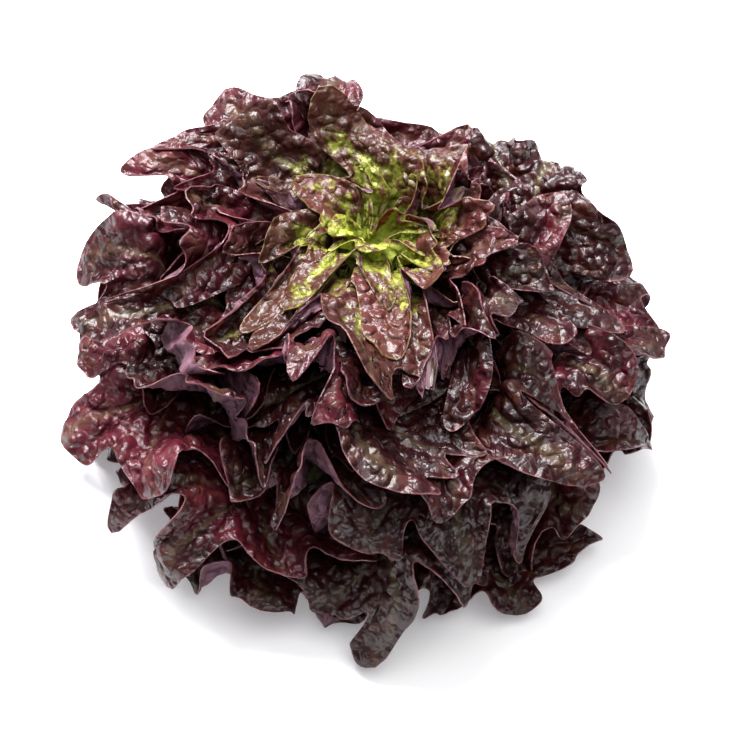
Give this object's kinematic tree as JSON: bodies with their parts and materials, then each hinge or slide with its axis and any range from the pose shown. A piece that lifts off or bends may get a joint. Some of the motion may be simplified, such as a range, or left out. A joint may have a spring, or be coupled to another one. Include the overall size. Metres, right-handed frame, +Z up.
{
  "type": "oak leaf lettuce",
  "caption": "Open head of red oak leaf lettuce: ruffled, lobed dark red leaves arching out round a yellow-green heart, resting on its cut stem.",
  "frame": {"origin": "centre of the stem's cut face, on the surface that the head rests on", "axes": "+Z up along the stem, out of the heart; -Y toward the viewer of the picture; +X to the viewer's right"},
  "size_m": [0.3004, 0.3015, 0.1614],
  "materials": {
    "red_leaf": "glossy blistered upper side, duller and paler under side",
    "blushed_leaf": "yellow-green with a red blush, glossy and blistered",
    "heart_leaf": "bright yellow-green, glossy",
    "stem_flesh": "pale green, matt, moist"
  },
  "bodies": {
    "root": {"stem": "stem_flesh", "leaf_01": "red_leaf", "leaf_02": "red_leaf", "leaf_03": "red_leaf", "leaf_04": "red_leaf", "leaf_05": "red_leaf", "leaf_06": "red_leaf", "leaf_07": "red_leaf", "leaf_08": "red_leaf", "leaf_09": "red_leaf", "leaf_10": "red_leaf", "leaf_11": "red_leaf", "leaf_12": "red_leaf", "leaf_13": "red_leaf", "leaf_14": "red_leaf", "leaf_15": "red_leaf", "leaf_16": "red_leaf", "leaf_17": "red_leaf", "leaf_18": "red_leaf", "leaf_19": "red_leaf", "leaf_20": "red_leaf", "leaf_21": "red_leaf", "leaf_22": "red_leaf", "leaf_23": "red_leaf", "leaf_24": "red_leaf", "leaf_25": "red_leaf", "leaf_26": "red_leaf", "leaf_27": "red_leaf", "leaf_28": "red_leaf", "leaf_29": "red_leaf", "leaf_30": "red_leaf", "leaf_31": "red_leaf", "leaf_32": "red_leaf", "leaf_33": "red_leaf", "leaf_34": "red_leaf", "leaf_35": "red_leaf", "leaf_36": "red_leaf", "leaf_37": "red_leaf", "leaf_38": "red_leaf", "leaf_39": "red_leaf", "leaf_40": "red_leaf", "leaf_41": "red_leaf", "leaf_42": "blushed_leaf", "leaf_43": "blushed_leaf", "leaf_44": "blushed_leaf", "leaf_45": "blushed_leaf", "leaf_46": "blushed_leaf", "leaf_47": "blushed_leaf", "leaf_48": "blushed_leaf", "leaf_49": "blushed_leaf", "leaf_50": "heart_leaf", "leaf_51": "heart_leaf", "leaf_52": "heart_leaf", "leaf_53": "heart_leaf"}
  },
  "joints": []
}
